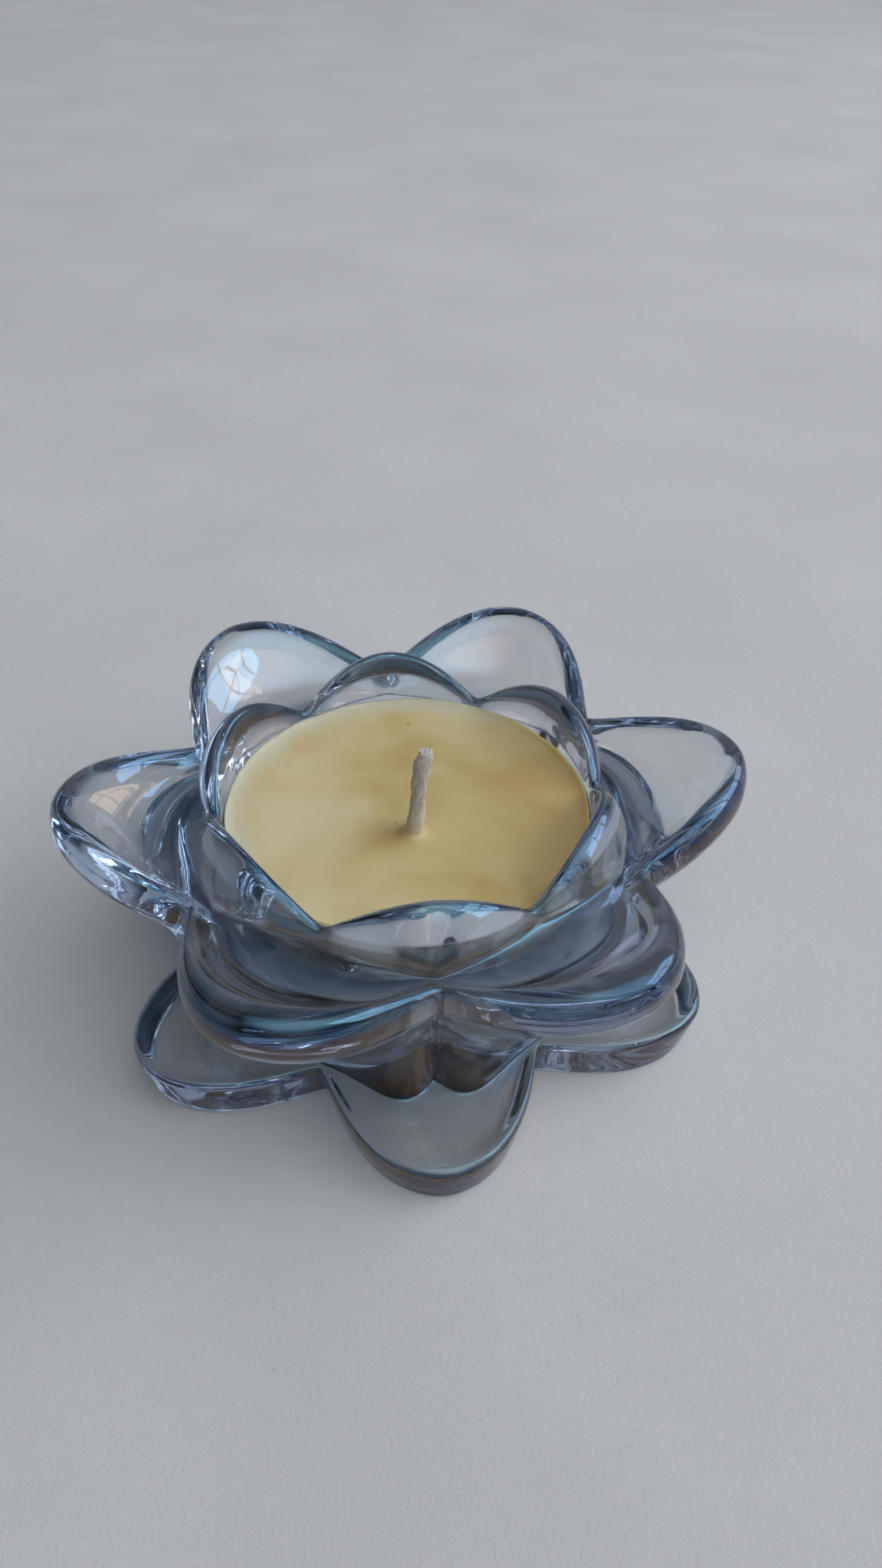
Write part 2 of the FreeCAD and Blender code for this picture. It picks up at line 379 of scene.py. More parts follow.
def soften_edges(rows, dense):
    """Moves each point to the mean of the dense profile round it, which rounds the moulded edges."""
    softened = rows.copy()
    for column in range(rows.shape[1]):
        profile = dense[:, column]
        length = run_length(profile)
        weight = np.gradient(length)
        nearest = np.linalg.norm(profile[None] - rows[:, column, None], axis=2).argmin(axis=1)
        reach = length[None] - length[nearest][:, None]
        share = np.exp(-0.5 * (reach / EDGE_SOFTNESS) ** 2) * weight[None]
        share /= share.sum(axis=1, keepdims=True)
        softened[:, column] = share @ profile
    softened[0, :, :2] = 0.0
    softened[-1, :, :2] = 0.0
    return softened


def turned_about_z(rows, degrees):
    turn = math.radians(degrees)
    matrix = np.array([[math.cos(turn), -math.sin(turn), 0.0],
                       [math.sin(turn), math.cos(turn), 0.0],
                       [0.0, 0.0, 1.0]])
    return rows @ matrix.T


def strip_rows(name):
    """The first row of a strip among the rows of half a petal, and the first one after it."""
    first = FINE_FLATS.recess + FINE_FLATS.foot
    for strip in STRIPS:
        if strip.name == name:
            return first, first + strip.rows
        first += strip.rows


def raise_ribs(half):
    """Adds the narrow web that the mould leaves in each crease of the neck."""
    radius = np.hypot(half[..., 0], half[..., 1])
    angle = np.degrees(np.arctan2(half[..., 1], half[..., 0]))
    height = half[..., 2]
    aside = radius * np.radians(HALF_PETAL - angle)
    across = np.clip(1.0 - (aside - RIB_HALF_WIDTH) / RIB_SIDE_FADE, 0.0, 1.0)
    above = np.clip((height - RIB_LOW_Z) / RIB_LOW_FADE, 0.0, 1.0)
    below = np.clip((RIB_HIGH_Z - height) / RIB_HIGH_FADE, 0.0, 1.0)
    on_neck = np.zeros(half.shape[:2])
    on_neck[slice(*strip_rows("neck"))] = 1.0
    push = RIB_HEIGHT * across * above * below * on_neck
    outward = half * np.array([1.0, 1.0, 0.0]) / radius.clip(1.0)[..., None]
    return half + outward * push[..., None]


def flower_rows():
    """Rows of points over the whole flower, from half a petal and its mirror image, turned about Z."""
    fine = half_petal_rows(row_places, FINE_FLATS)
    dense = half_petal_rows(dense_places, DENSE_FLATS)
    half = raise_ribs(soften_edges(fine, dense))
    twin = half[:, ::-1] * np.array([1.0, -1.0, 1.0])
    columns = []
    for petal in range(PETALS):
        columns.append(turned_about_z(half[:, :-1], petal * 2 * HALF_PETAL))
        columns.append(turned_about_z(twin[:, :-1], (petal + 1) * 2 * HALF_PETAL))
    return np.concatenate(columns, axis=1)


def waver(points):
    """Draws the surface in a little, by an uneven depth."""
    off_foot = np.clip(points[:, 2] / STEADY_FOOT_Z, 0.0, 1.0)
    in_cup = (np.hypot(points[:, 0], points[:, 1]) < STEADY_CUP_R) & (points[:, 2] > STEADY_CUP_Z)
    depth = (WAVER_DEPTH + waves(points, WAVER)) * off_foot * ~in_cup
    inward = -points / np.linalg.norm(points, axis=1, keepdims=True).clip(1.0)
    return points + inward * depth[:, None]


def make_lotus_glass(material):
    points, faces = closed_tube(flower_rows())
    piece = new_mesh("lotus_glass_skin", waver(points), faces, material)
    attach(piece, "holder")
    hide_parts("lotus_glass")
    return piece


# ---- wax ------------------------------------------------------------------------------------------
WICK_FOOT = (0.0, -6.4)
WAX_R = 28.8                   # at its top edge
WAX_PROFILE = [(22.8, 11.0), (26.5, 15.0), (28.5, 29.0), (WAX_R, 33.3)]
WAX_UNDERSIDE_RADII = (6.0, 12.0, 18.0)
WAX_SIDE_TOP_Z = 33.4
WAX_LEVEL_Z = 34.0
WAX_COLUMNS = 176
WAX_ROWS_PER_SIDE_SPAN = 6
WAX_TOP_ROWS = 46
WAX_TOP_CROWDING = 0.65

# Each rise or dip of the top is its height and how far it reaches, in mm.
UP_THE_GLASS, UP_THE_GLASS_REACH = 0.8, 0.55
UP_THE_WICK, UP_THE_WICK_REACH = 1.1, 0.7
WICK_HOLE_R = 1.2
SINK = 0.1
SINK_BY_WICK, SINK_BY_WICK_REACH = 0.28, 8.0
SINK_BY_GLASS, SINK_BY_GLASS_REACH = 0.15, 5.0
UNEVEN_CLIMB = [(0.45, 6.0, 5), (0.25, 1.8, 6)]
LEAST_CLIMB = 0.75
RIPPLES = [(0.06, 9.0, 3), (0.02, 2.6, 4)]
DENT_DEPTH, DENT_WAVELENGTH = 0.12, 7.0
DENT_FROM_R, DENT_FADE = 20.0, 5.0


def wax_top_height(x, y):
    """Height of the set wax: nearly level, sunk a little, drawn up the wick and up the glass."""
    from_glass = WAX_R - np.hypot(x, y)
    from_wick = np.hypot(x - WICK_FOOT[0], y - WICK_FOOT[1])
    points = np.stack([x, y, np.zeros_like(x)], axis=1)
    climb = UP_THE_GLASS * (LEAST_CLIMB + waves(points, UNEVEN_CLIMB))
    up_glass = climb * np.exp(-from_glass.clip(0.0) / UP_THE_GLASS_REACH)
    up_wick = UP_THE_WICK * np.exp(-(from_wick - WICK_HOLE_R).clip(0.0) / UP_THE_WICK_REACH)
    sink = (SINK + SINK_BY_WICK * np.exp(-(from_wick / SINK_BY_WICK_REACH) ** 2)
            + SINK_BY_GLASS * np.exp(-(from_glass / SINK_BY_GLASS_REACH) ** 2))
    return WAX_LEVEL_Z - sink + waves(points, RIPPLES) + up_glass + up_wick


def wax_side_places():
    """Radius and height of each row from the underside up the side."""
    places = [(radius, WAX_PROFILE[0][1]) for radius in (0.0, *WAX_UNDERSIDE_RADII)]
    for (low_r, low_z), (high_r, high_z) in zip(WAX_PROFILE, WAX_PROFILE[1:]):
        for step in np.linspace(0.0, 1.0, WAX_ROWS_PER_SIDE_SPAN + 1)[:-1]:
            places.append((low_r + (high_r - low_r) * step, low_z + (high_z - low_z) * step))
    return places


def dent_side(points):
    """Draws the side of the wax in unevenly, where it has shrunk off the glass."""
    radius = np.hypot(points[:, 0], points[:, 1])
    on_side = np.clip((radius - DENT_FROM_R) / DENT_FADE, 0.0, 1.0) * (points[:, 2] < WAX_SIDE_TOP_Z)
    dent = DENT_DEPTH * (1.0 + wobble(points, DENT_WAVELENGTH, 7)) * on_side
    outward = points * np.array([1.0, 1.0, 0.0]) / radius.clip(1e-6)[:, None]
    return points - outward * dent[:, None]


def make_wax(material):
    turns = circle_turns(WAX_COLUMNS)
    rows = [level_ring((0.0, 0.0), radius, turns, height) for radius, height in wax_side_places()]
    # the top's rows close in from the wall to the wick
    edge = np.stack([np.cos(turns), np.sin(turns)], axis=1) * WAX_R
    wick_foot = np.array(WICK_FOOT)
    for share in 1.0 - eased(np.linspace(0.0, 1.0, WAX_TOP_ROWS), WAX_TOP_CROWDING):
        ring = wick_foot + (edge - wick_foot) * share
        rows.append(np.column_stack([ring, wax_top_height(ring[:, 0], ring[:, 1])]))
    points, faces = closed_tube(np.array(rows))
    piece = new_mesh("poured_wax", dent_side(points), faces, material)
    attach(piece, "candle")
    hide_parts("wax_fill")
    return piece


# ---- wick -----------------------------------------------------------------------------------------
WICK_R = 1.5
LEAST_WICK_R = 0.5
WICK_BOTTOM_Z = 11.3
WICK_CUT_Z = 49.75             # the edge of the cut end
WICK_BEND_Z, WICK_BEND_EASE = 32.0, 1.5
WICK_TIP = np.array([2.0, -6.7, 50.0])
WICK_KINK, WICK_KINK_WAVES = 0.16, 1.1
WICK_COLUMNS = 60
WICK_ROWS = 260

PLIES = 3
PLY_PITCH = 11.0               # mm of wick for one turn of the twist
GROOVE_DEPTH = 0.34            # between two plies
GROOVE_SHARPNESS = 0.6
WAXED_TOP_Z = WAX_LEVEL_Z + 1.5    # the twist is clogged with wax below this
CLEAN_AFTER = 9.0
LEAST_CLEAN = 0.15
LUMPS = [(0.09, 1.9, 8), (0.035, 0.5, 9)]
LUMP_PLACE_R, LUMP_STRETCH = 1.2, 0.8
FIBRE_DEPTH, FIBRES_ROUND, FIBRE_TWIST = 0.035, 17, 1.7
FIBRE_STRAY = (3.0, 1.2, 10)
# The wick's thickness, as a share of its full radius: usual, how it swells and thins, and its taper.
USUAL_THICKNESS, SWELLING = 0.86, 0.07
TAPER_Z, TAPER, TAPER_LENGTH = 48.3, 0.14, 1.2
# The rows that close the cut end: share of the wick's radius, and height over its edge.
CUT_END_ROWS = ((0.93, 0.10), (0.8, 0.16), (0.6, 0.13), (0.4, 0.12), (0.2, 0.1))
CUT_HIGHEST_Z = 50.1
CUT_SLANT = 0.16
CUT_EDGE_DROP = 0.15
TUFT, TUFT_SWELL = (0.20, 0.35, 11), (0.08, 0.9, 12)


def wick_centre(height):
    """Middle of the wick at each height: upright in the wax, then leaning with a slight kink."""
    above = np.clip(height - WICK_BEND_Z, 0.0, None)
    span = WICK_TIP[2] - WICK_BEND_Z
    lean = above ** 2 / (above + WICK_BEND_EASE) / (span ** 2 / (span + WICK_BEND_EASE))
    kink = WICK_KINK * np.sin(lean * 2 * math.pi * WICK_KINK_WAVES) * (lean < 1)
    x = WICK_FOOT[0] + (WICK_TIP[0] - WICK_FOOT[0]) * lean + kink
    y = WICK_FOOT[1] + (WICK_TIP[1] - WICK_FOOT[1]) * lean
    return np.stack([x, y, height], axis=1)


def wick_radius(turns, height):
    """Radius of the twisted, lumpy wick at each turn round it."""
    twist = 2 * math.pi * height / PLY_PITCH
    spots = level_ring((0.0, 0.0), LUMP_PLACE_R, turns, height * LUMP_STRETCH)
    ply = np.abs(np.sin((turns - twist) * PLIES / 2))
    clean = np.clip((height - WAXED_TOP_Z) / CLEAN_AFTER, LEAST_CLEAN, 1.0)
    groove = GROOVE_DEPTH * clean * (1.0 - ply ** GROOVE_SHARPNESS)
    along = (turns + twist * FIBRE_TWIST) * FIBRES_ROUND + waves(spots, [FIBRE_STRAY])
    fibres = FIBRE_DEPTH * clean * np.sin(along)
    taper = TAPER * np.clip(height - TAPER_Z, 0.0, TAPER_LENGTH)
    thickness = USUAL_THICKNESS + SWELLING * np.sin(height * 0.55 + 1.0) - taper
    return (WICK_R * thickness - groove + waves(spots, LUMPS) + fibres).clip(LEAST_WICK_R, WICK_R)


def cut_end_rows(edge, middle):
    """The cut end: slightly slanted, and ragged where the fibres stand up."""
    rows = []
    for share, lift in CUT_END_ROWS:
        ring = middle + (edge - middle) * share
        slant = CUT_SLANT * (ring[:, 0] - middle[0])
        tuft = np.abs(waves(ring, [TUFT])) + waves(ring, [TUFT_SWELL])
        ring[:, 2] = middle[2] - CUT_EDGE_DROP + slant + lift + tuft
        ring[:, 2] = np.minimum(ring[:, 2], CUT_HIGHEST_Z)
        rows.append(ring)
    rows.append(np.repeat(rows[-1].mean(axis=0)[None], WICK_COLUMNS, axis=0))
    return rows


def make_wick(material):
    centres = wick_centre(np.linspace(WICK_BOTTOM_Z, WICK_CUT_Z, WICK_ROWS))
    turns = circle_turns(WICK_COLUMNS)
    rows = [np.repeat(centres[:1], WICK_COLUMNS, axis=0)]
    for centre in centres:
        rows.append(level_ring(centre, wick_radius(turns, centre[2]), turns, centre[2]))
    rows += cut_end_rows(rows[-1], centres[-1])
    points, faces = closed_tube(np.array(rows))
    piece = new_mesh("cotton_wick", points, faces, material)
    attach(piece, "candle")
    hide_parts("wick")
    return piece


# ---- wick tab ---------------------------------------------------------------------------------------
TAB_R, TAB_THICK = 8.0, 0.3
TAB_NECK_R, TAB_NECK_HEIGHT = 1.85, 4.0
TAB_COLUMNS = 96
CRIMP_DEPTH = 0.16
CRIMP_HEIGHT, CRIMP_REACH = 2.4, 0.7
CRIMP_SHARPNESS = 8


def make_tab(material):
    foot_z = CUP_FLOOR_Z
    top_z = foot_z + TAB_THICK
    underside = [(0.0, foot_z), (3.0, foot_z), (5.2, foot_z), (5.6, foot_z + 0.08), (6.2, foot_z + 0.08),
                 (6.6, foot_z), (7.7, foot_z), (7.95, foot_z + 0.06)]
    edge = [(TAB_R, foot_z + 0.15), (7.9, top_z - 0.03), (7.6, top_z)]
    pressed_ring = [(6.7, top_z), (6.3, top_z - 0.09), (5.5, top_z - 0.09), (5.1, top_z)]
    flare = [(3.2, top_z), (2.4, top_z + 0.12), (1.95, top_z + 0.5)]
    neck = [(TAB_NECK_R, top_z + height) for height in (1.0, 2.0, 3.0, 3.8)]
    mouth = [(1.78, top_z + TAB_NECK_HEIGHT), (1.6, top_z + TAB_NECK_HEIGHT),
             (0.0, top_z + TAB_NECK_HEIGHT - 0.02)]
    turns = circle_turns(TAB_COLUMNS)
    rows = []
    for radius, height in underside + edge + pressed_ring + flare + neck + mouth:
        in_reach = math.exp(-((height - top_z - CRIMP_HEIGHT) / CRIMP_REACH) ** 2)
        on_neck = in_reach if 0.0 < radius <= TAB_NECK_R else 0.0
        crimp = CRIMP_DEPTH * on_neck * np.cos(turns * 2) ** CRIMP_SHARPNESS
        rows.append(level_ring(WICK_FOOT, radius - crimp, turns, height))
    points, faces = closed_tube(np.array(rows))
    piece = new_mesh("tinplate_tab", points, faces, material)
    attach(piece, "candle")
    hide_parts("wick_tab")
    return piece


# ---- shader nodes -------------------------------------------------------------------------------------
MIX_FACTOR, MIX_UNDER, MIX_OVER, MIX_COLOUR_OUT = "Factor", 6, 7, 2    # a Mix node's colour sockets


def new_material(name):
    material = bpy.data.materials.new(name)
    material.use_nodes = True
    tree = material.node_tree
    return material, tree, tree.nodes["Principled BSDF"]


def object_position(tree):
    return tree.nodes.new("ShaderNodeTexCoord").outputs["Object"]


def object_place(tree):
    """X, Y and Z of the shaded point in the object's own space."""
    split = tree.nodes.new("ShaderNodeSeparateXYZ")
    tree.links.new(object_position(tree), split.inputs["Vector"])
    return split.outputs["X"], split.outputs["Y"], split.outputs["Z"]


def object_noise(tree, scale, detail=4.0, roughness=0.5, distortion=0.0, stretch=(1, 1, 1)):
    """A noise texture in object space; scale is in cycles per metre."""
    mapping = tree.nodes.new("ShaderNodeMapping")
    mapping.inputs["Scale"].default_value = stretch
    tree.links.new(object_position(tree), mapping.inputs["Vector"])
    texture = tree.nodes.new("ShaderNodeTexNoise")
    texture.inputs["Scale"].default_value = scale
    texture.inputs["Detail"].default_value = detail
    texture.inputs["Roughness"].default_value = roughness
    texture.inputs["Distortion"].default_value = distortion
    tree.links.new(mapping.outputs["Vector"], texture.inputs["Vector"])
    return texture.outputs["Fac"]


def ramp(tree, value, stops):
    """Colour by value, through stops of a place and a colour."""
    node = tree.nodes.new("ShaderNodeValToRGB")
    elements = node.color_ramp.elements
    while len(elements) < len(stops):
        elements.new(0.5)
    for element, (place, colour) in zip(elements, stops):
        element.position = place
        element.color = (*colour, 1.0)
    tree.links.new(value, node.inputs["Fac"])
    return node.outputs["Color"]


def remap(tree, value, span, new_span):
    """Carries a value over from one span to another, and holds it at the ends."""
    node = tree.nodes.new("ShaderNodeMapRange")
    node.inputs["From Min"].default_value, node.inputs["From Max"].default_value = span
    node.inputs["To Min"].default_value, node.inputs["To Max"].default_value = new_span
    tree.links.new(value, node.inputs["Value"])
    return node.outputs["Result"]


def maths(tree, operation, first, second=None):
    """One step of arithmetic; each term is a socket or a number."""
    node = tree.nodes.new("ShaderNodeMath")
    node.operation = operation
    for socket, term in zip(node.inputs, (first, second)):
        if isinstance(term, (int, float)):
            socket.default_value = term
        elif term is not None:
            tree.links.new(term, socket)
    return node.outputs["Value"]


def add(tree, first, second):
    return maths(tree, "ADD", first, second)


def multiply(tree, first, second):
    return maths(tree, "MULTIPLY", first, second)


def from_axis(tree, across, back):
    """Distance of the shaded point from the flower's axis."""
    return maths(tree, "SQRT", add(tree, multiply(tree, across, across), multiply(tree, back, back)))


def blend(tree, share, under, over, blend_type="MIX"):
    """Lays colour over on colour under by share; each colour is a socket or three numbers."""
    node = tree.nodes.new("ShaderNodeMix")
    node.data_type = "RGBA"
    node.blend_type = blend_type
    tree.links.new(share, node.inputs[MIX_FACTOR])
    for socket, colour in ((node.inputs[MIX_UNDER], under), (node.inputs[MIX_OVER], over)):
        if isinstance(colour, tuple):
            socket.default_value = (*colour, 1.0)
        else:
            tree.links.new(colour, socket)
    return node.outputs[MIX_COLOUR_OUT]


def vector_step(tree, operation, position, other):
    node = tree.nodes.new("ShaderNodeVectorMath")
    node.operation = operation
    tree.links.new(position, node.inputs[0])
    node.inputs[1].default_value = other
    return node.outputs["Value"]


def bump(tree, height, depth, under=None):
    """Normals of a surface raised by height times depth in metres, on top of the normals under it."""
    node = tree.nodes.new("ShaderNodeBump")
    node.inputs["Strength"].default_value = 1.0
    node.inputs["Distance"].default_value = depth
    tree.links.new(height, node.inputs["Height"])
    if under is not None:
        tree.links.new(under, node.inputs["Normal"])
    return node.outputs["Normal"]


# ---- glass material -------------------------------------------------------------------------------------
GLASS_IOR = 1.5
GLASS_TINT, GLASS_TINT_DENSITY = (0.14, 0.34, 0.58), 16.0
CLEAREST, CLOUDIEST = 1.0, 0.94
SMEAR_ROUGHNESS = 0.025
STRIAE_DEPTH, GRAIN_DEPTH = 0.00004, 0.000004

LUSTRE_IOR = 1.7
LUSTRE_TOP_NM, LUSTRE_WALL_NM = 204.0, 147.0
LUSTRE_UNEVEN_NM = 7.0
WALL_SLOPE = (0.10, 0.26)      # size of the normal's Z from a full wall to a full top

# Wax film on the inside of the cup: from the cup it has the wax's own tone; seen through the glass it is
# painted dark, a painted shade.
WAX_FILM_FROM_CUP = (0.52, 0.47, 0.33)
WAX_FILM_PAINTED_SHADE = (0.17, 0.165, 0.125)
WAX_FILM_COVER = 0.85
CUP_WALL_R = (0.0293, 0.0295)
CUP_FLOOR_EDGE = (0.0100, 0.0105)
WAX_LEVEL_EDGE = (0.0335, 0.0340)


def lustre_thickness(tree):
    """Thickness of the lustre film in nanometres: blue and uneven on top, thinner and golden on walls."""
    split = tree.nodes.new("ShaderNodeSeparateXYZ")
    tree.links.new(tree.nodes.new("ShaderNodeNewGeometry").outputs["Normal"], split.inputs["Vector"])
    level = maths(tree, "ABSOLUTE", split.outputs["Z"])
    thinner = remap(tree, level, WALL_SLOPE, (LUSTRE_WALL_NM - LUSTRE_TOP_NM, 0.0))
    clouds = object_noise(tree, 38.0, 2.0, 0.5, 0.6)
    uneven = remap(tree, clouds, (0.35, 0.65),
                   (LUSTRE_TOP_NM - LUSTRE_UNEVEN_NM, LUSTRE_TOP_NM + LUSTRE_UNEVEN_NM))
    return add(tree, thinner, uneven)


def wax_film_and_painted_shade(tree):
    """Where candle wax clings to the inside of the cup, 0 to 1: below the wax level, a little patchy. Where
    it is seen through the glass, the film is painted dark as a painted shade.
    """
    across, back, height = object_place(tree)
    inside = remap(tree, from_axis(tree, across, back), CUP_WALL_R, (1.0, 0.0))
    above_floor = remap(tree, height, CUP_FLOOR_EDGE, (0.0, 1.0))
    below_level = remap(tree, height, WAX_LEVEL_EDGE, (1.0, 0.0))
    patchy = remap(tree, object_noise(tree, 90.0, 3.0), (0.38, 0.5), (0.55, 1.0))
    band = multiply(tree, multiply(tree, above_floor, below_level), inside)
    return multiply(tree, band, patchy)


def make_glass_material():
    material, tree, shader = new_material("smoky_lustre_glass")
    links = tree.links
    veil = object_noise(tree, 70.0, 6.0, 0.65, 1.8)
    clear = remap(tree, veil, (0.48, 0.72), (CLEAREST, CLOUDIEST))
    film_and_painted_shade = wax_film_and_painted_shade(tree)
    links.new(maths(tree, "SUBTRACT", clear, multiply(tree, film_and_painted_shade, WAX_FILM_COVER)),
              shader.inputs["Transmission Weight"])
    # Painted shade: seen through the glass, the wax film is painted dark; seen from the cup, it has the
    # wax's own tone.
    behind = tree.nodes.new("ShaderNodeNewGeometry").outputs["Backfacing"]
    film = blend(tree, behind, WAX_FILM_FROM_CUP, WAX_FILM_PAINTED_SHADE)
    links.new(blend(tree, film_and_painted_shade, (1.0, 1.0, 1.0), film), shader.inputs["Base Color"])
    shader.inputs["IOR"].default_value = GLASS_IOR
    links.new(lustre_thickness(tree), shader.inputs["Thin Film Thickness"])
    shader.inputs["Thin Film IOR"].default_value = LUSTRE_IOR
    smears = object_noise(tree, 120.0, 5.0, 0.6, 1.5)
    links.new(remap(tree, smears, (0.45, 0.75), (0.0, SMEAR_ROUGHNESS)), shader.inputs["Roughness"])
    striae = object_noise(tree, 110.0, 1.5, 0.4, 0.5, (1, 1, 0.6))
    grain = object_noise(tree, 900.0, 2.0)
    surface = bump(tree, grain, GRAIN_DEPTH, bump(tree, striae, STRIAE_DEPTH))
    links.new(surface, shader.inputs["Normal"])
    tint = tree.nodes.new("ShaderNodeVolumeAbsorption")
    tint.inputs["Color"].default_value = (*GLASS_TINT, 1.0)
    tint.inputs["Density"].default_value = GLASS_TINT_DENSITY
    links.new(tint.outputs["Volume"], tree.nodes["Material Output"].inputs["Volume"])
    return material


# ---- wax, wick and tab materials ------------------------------------------------------------------------
WAX_STRAW = [(0.28, (0.48, 0.35, 0.14)), (0.45, (0.56, 0.45, 0.21)),
             (0.62, (0.62, 0.53, 0.29)), (0.80, (0.66, 0.60, 0.39))]
# Lighter cream of the painted light along the lit -X and +Y edge of the wax.
WAX_PAINTED_LIGHT_CREAM = (0.60, 0.58, 0.43)
WAX_SPECK = (0.24, 0.15, 0.06)
WICK_SHADOW_PLACE = (-0.0042, -0.0072, 0.034)    # painted shadow of the wick on the wax beside its foot
WICK_SHADOW_FADE = (0.0006, 0.0062)
# Where the band of painted light begins and ends, from the axis, and how unevenly it begins.
PAINTED_LIGHT_EDGE_R = (0.0275, 0.0305)
PAINTED_LIGHT_EDGE_UNEVEN = 0.006
WAX_SSS, WAX_SSS_RADIUS, WAX_SSS_SCALE = 0.6, (1.0, 0.72, 0.30), 0.003
WAX_PORE_DEPTH = 0.00003

WICK_COTTON = [(0.30, (0.40, 0.36, 0.29)), (0.52, (0.56, 0.52, 0.46)), (0.72, (0.68, 0.65, 0.61))]
WAXED_COTTON = (0.60, 0.53, 0.37)
WAXED_COTTON_FADE = (0.0345, 0.0400)
WICK_SSS, WICK_SSS_RADIUS, WICK_SSS_SCALE = 0.3, (1.0, 0.8, 0.6), 0.0008
WICK_FIBRE_DEPTH = 0.00012

TINPLATE = [(0.3, (0.50, 0.50, 0.49)), (0.7, (0.72, 0.72, 0.73))]
TINPLATE_BRUSHED_DEPTH = 0.00001


def wax_colour_with_painted_light_and_shade(tree):
    """Straw colour, cloudy at random, with a few specks; painted shade turns it darker ochre towards +X, a
    painted shadow of the wick lies beside its foot, and painted light gives a lighter cream band along the
    -X and +Y edge.
    """
    across, back, _ = object_place(tree)
    clouds = object_noise(tree, 48.0, 3.0, 0.5, 0.4)
    # Painted shade: darker ochre towards +X, where the glass rim shades the wax.
    lean = remap(tree, across, (-0.022, 0.028), (0.13, -0.17))
    # Painted shadow of the wick, cast on the wax beside its foot.
    from_wick_shadow = vector_step(tree, "DISTANCE", object_position(tree), WICK_SHADOW_PLACE)
    painted_wick_shadow = remap(tree, from_wick_shadow, WICK_SHADOW_FADE, (-0.20, 0.0))
    straw = ramp(tree, add(tree, add(tree, clouds, lean), painted_wick_shadow), WAX_STRAW)
    # Painted light: a lighter cream band along the -X and +Y edge of the wax, the side the light falls on.
    ragged = multiply(tree, object_noise(tree, 210.0, 4.0, 0.6), PAINTED_LIGHT_EDGE_UNEVEN)
    edge = remap(tree, add(tree, from_axis(tree, across, back), ragged), PAINTED_LIGHT_EDGE_R, (0.0, 1.0))
    side = remap(tree, maths(tree, "SUBTRACT", back, across), (-0.006, 0.016), (0.0, 0.9))
    lit_and_shaded_wax = blend(tree, multiply(tree, edge, side), straw, WAX_PAINTED_LIGHT_CREAM)
    specks = remap(tree, object_noise(tree, 620.0, 1.0, 0.4), (0.765, 0.80), (0.0, 0.5))
    return blend(tree, specks, lit_and_shaded_wax, WAX_SPECK)


def make_wax_material():
    material, tree, shader = new_material("poured_candle_wax")
    tree.links.new(wax_colour_with_painted_light_and_shade(tree), shader.inputs["Base Color"])
    shader.inputs["Subsurface Weight"].default_value = WAX_SSS
    shader.inputs["Subsurface Radius"].default_value = WAX_SSS_RADIUS
    shader.inputs["Subsurface Scale"].default_value = WAX_SSS_SCALE
    shader.inputs["Specular IOR Level"].default_value = 0.35
    sheen = object_noise(tree, 300.0, 3.0)
    tree.links.new(remap(tree, sheen, (0.3, 0.7), (0.38, 0.55)), shader.inputs["Roughness"])
    pores = object_noise(tree, 1500.0, 4.0, 0.6)
    tree.links.new(bump(tree, pores, WAX_PORE_DEPTH), shader.inputs["Normal"])
    return material


def make_wick_material():
    material, tree, shader = new_material("waxed_cotton")
    fibres = object_noise(tree, 1800.0, 4.0, 0.6, 0.5, (1, 1, 0.25))
    cotton = ramp(tree, fibres, WICK_COTTON)
    _, _, height = object_place(tree)
    waxed = remap(tree, height, WAXED_COTTON_FADE, (0.75, 0.0))
    tree.links.new(blend(tree, waxed, cotton, WAXED_COTTON), shader.inputs["Base Color"])
    shader.inputs["Roughness"].default_value = 0.62
    shader.inputs["Subsurface Weight"].default_value = WICK_SSS
    shader.inputs["Subsurface Radius"].default_value = WICK_SSS_RADIUS
    shader.inputs["Subsurface Scale"].default_value = WICK_SSS_SCALE
    tree.links.new(bump(tree, fibres, WICK_FIBRE_DEPTH), shader.inputs["Normal"])
    return material


def make_tab_material():
    material, tree, shader = new_material("tinplate")
    shader.inputs["Metallic"].default_value = 1.0
    scuffs = object_noise(tree, 700.0, 4.0, 0.6)
    tree.links.new(ramp(tree, scuffs, TINPLATE), shader.inputs["Base Color"])
    tree.links.new(remap(tree, scuffs, (0.3, 0.7), (0.28, 0.5)), shader.inputs["Roughness"])
    brushed = object_noise(tree, 2500.0, 2.0, 0.5, 0.0, (0.1, 1, 1))
    tree.links.new(bump(tree, brushed, TINPLATE_BRUSHED_DEPTH), shader.inputs["Normal"])
    return material


# ---- stage: floor, window and room ----------------------------------------------------------------------
FLOOR_RINGS_MM = (400.0, 1600.0, 6000.0)
FLOOR_TOP_MM = -0.02           # just under the foot, so the two never share a plane
FLOOR_COLUMNS = 96
BOARD = [(0.3, (0.54, 0.545, 0.55)), (0.7, (0.61, 0.615, 0.615))]
BOARD_FIBRE = (0.52, 0.53, 0.535)
BOARD_SPECK = (0.30, 0.30, 0.29)
BOARD_GRAIN_DEPTH = 0.0001

AIM_AT = Vector((0.0, 0.0, 0.03))          # the middle of the holder
WINDOW_AZIMUTH, WINDOW_ELEVATION, WINDOW_DISTANCE = -3.0, 32.0, 1.5
WINDOW_PANES = (3, 2)                      # across and up
PANE_SIZE, PANE_GAP = (0.46, 0.36), 0.045
WINDOW_WATTS, WINDOW_COLOUR = 10.0, (0.98, 0.985, 1.0)

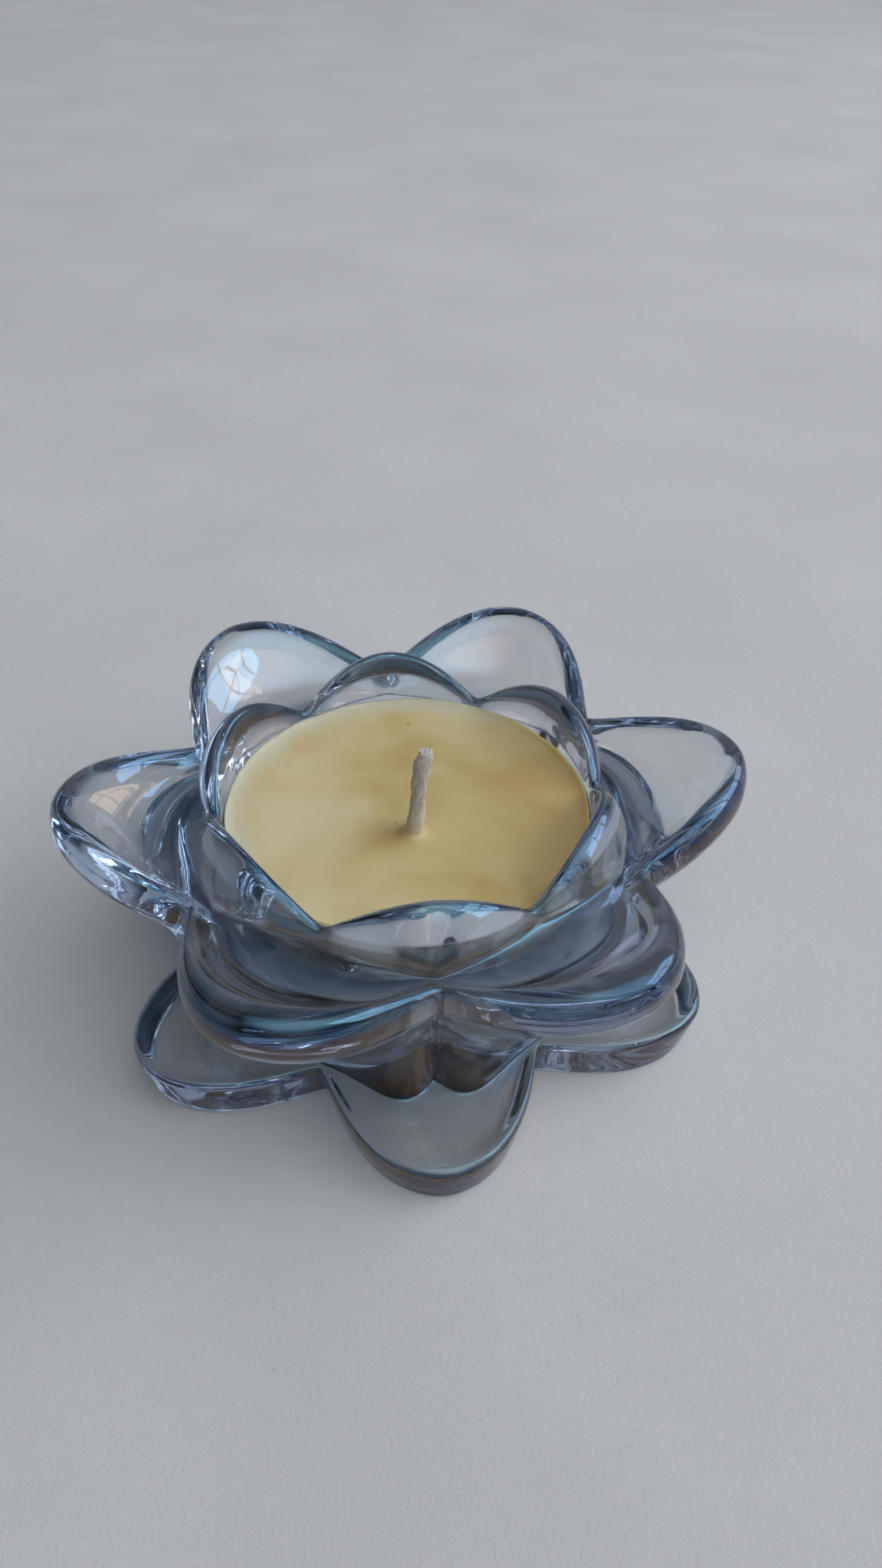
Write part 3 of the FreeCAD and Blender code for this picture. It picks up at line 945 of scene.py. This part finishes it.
# Soft patches of the room round the object, seen in the glass: azimuth and elevation of the middle, the
# angles from there at which the patch starts and ends fading, and its light.
Patch = namedtuple("Patch", "name azimuth elevation inner outer light")
ROOM_PATCHES = [
    Patch("back_wall", 80.0, 26.0, 10.0, 55.0, (0.36, 0.37, 0.40)),
    Patch("ceiling", 300.0, 60.0, 8.0, 46.0, (1.55, 1.58, 1.63)),
    Patch("right_wall", 2.0, 32.0, 12.0, 44.0, (0.65, 0.65, 0.66)),
    Patch("left_wall", 188.0, 4.0, 6.0, 40.0, (0.16, 0.18, 0.23)),
]
ROOM_SHADE = (0.022, 0.028, 0.045)


def make_floor_material():
    material, tree, shader = new_material("pale_board")
    board = ramp(tree, object_noise(tree, 14.0, 4.0, 0.55), BOARD)
    fibres = object_noise(tree, 420.0, 5.0, 0.7)
    mottled = blend(tree, remap(tree, fibres, (0.35, 0.75), (0.0, 0.5)), board, BOARD_FIBRE)
    specks = remap(tree, object_noise(tree, 330.0, 2.0, 0.5), (0.74, 0.80), (0.0, 0.45))
    tree.links.new(blend(tree, specks, mottled, BOARD_SPECK), shader.inputs["Base Color"])
    shader.inputs["Roughness"].default_value = 0.85
    shader.inputs["Specular IOR Level"].default_value = 0.2
    grain = object_noise(tree, 1500.0, 4.0, 0.65)
    tree.links.new(bump(tree, grain, BOARD_GRAIN_DEPTH), shader.inputs["Normal"])
    return material


def make_floor(material):
    turns = circle_turns(FLOOR_COLUMNS)
    points = [(0.0, 0.0, FLOOR_TOP_MM)]
    for radius in FLOOR_RINGS_MM:
        points += [tuple(point) for point in level_ring((0.0, 0.0), radius, turns, FLOOR_TOP_MM)]
    faces = []
    for column in range(FLOOR_COLUMNS):
        beside = (column + 1) % FLOOR_COLUMNS
        faces.append((0, 1 + column, 1 + beside))
        for ring in range(len(FLOOR_RINGS_MM) - 1):
            low = 1 + ring * FLOOR_COLUMNS
            high = low + FLOOR_COLUMNS
            faces.append((low + column, high + column, high + beside, low + beside))
    floor = new_mesh("floor", points, faces, material)


def direction(azimuth, elevation):
    """Unit vector; azimuth in degrees from +X towards +Y."""
    turn, rise = math.radians(azimuth), math.radians(elevation)
    return Vector((math.cos(turn) * math.cos(rise), math.sin(turn) * math.cos(rise), math.sin(rise)))


def make_window():
    """A window of separate panes facing the object."""
    across, up = WINDOW_PANES
    centre = direction(WINDOW_AZIMUTH, WINDOW_ELEVATION) * WINDOW_DISTANCE
    facing = (AIM_AT - centre).to_track_quat("-Z", "Y").to_matrix()
    for column in range(across):
        for row in range(up):
            pane = bpy.data.lights.new(f"window_{column}_{row}", "AREA")
            pane.shape = "RECTANGLE"
            pane.size, pane.size_y = PANE_SIZE
            pane.energy = WINDOW_WATTS / (across * up)
            pane.color = WINDOW_COLOUR
            lamp = bpy.data.objects.new(pane.name, pane)
            aside = (column - (across - 1) / 2) * (PANE_SIZE[0] + PANE_GAP)
            above = (row - (up - 1) / 2) * (PANE_SIZE[1] + PANE_GAP)
            lamp.location = centre + facing @ Vector((aside, above, 0.0))
            lamp.rotation_euler = facing.to_euler()
            lamp.visible_camera = False
            bpy.context.scene.collection.objects.link(lamp)


def make_world():
    world = bpy.data.worlds.new("room")
    bpy.context.scene.world = world
    world.use_nodes = True
    tree = world.node_tree
    towards = tree.nodes.new("ShaderNodeTexCoord").outputs["Generated"]
    light = ROOM_SHADE
    for patch in ROOM_PATCHES:
        closeness = vector_step(tree, "DOT_PRODUCT", towards, direction(patch.azimuth, patch.elevation))
        fade = (math.cos(math.radians(patch.outer)), math.cos(math.radians(patch.inner)))
        share = remap(tree, closeness, fade, (0.0, 1.0))
        share.node.interpolation_type = "SMOOTHSTEP"
        light = blend(tree, share, light, patch.light, "ADD")
    background = tree.nodes["Background"]
    tree.links.new(light, background.inputs["Color"])
    background.inputs["Strength"].default_value = 1.0


def set_look():
    scene = bpy.context.scene
    scene.view_settings.view_transform = "Standard"
    scene.view_settings.look = "None"
    scene.cycles.max_bounces = 24
    scene.cycles.transmission_bounces = 20
    scene.cycles.glossy_bounces = 12
    scene.cycles.use_denoising = True
    scene.cycles.sample_clamp_indirect = 6.0


make_camera()
make_lotus_glass(make_glass_material())
make_wax(make_wax_material())
make_wick(make_wick_material())
make_tab(make_tab_material())
make_floor(make_floor_material())
make_window()
make_world()
set_look()
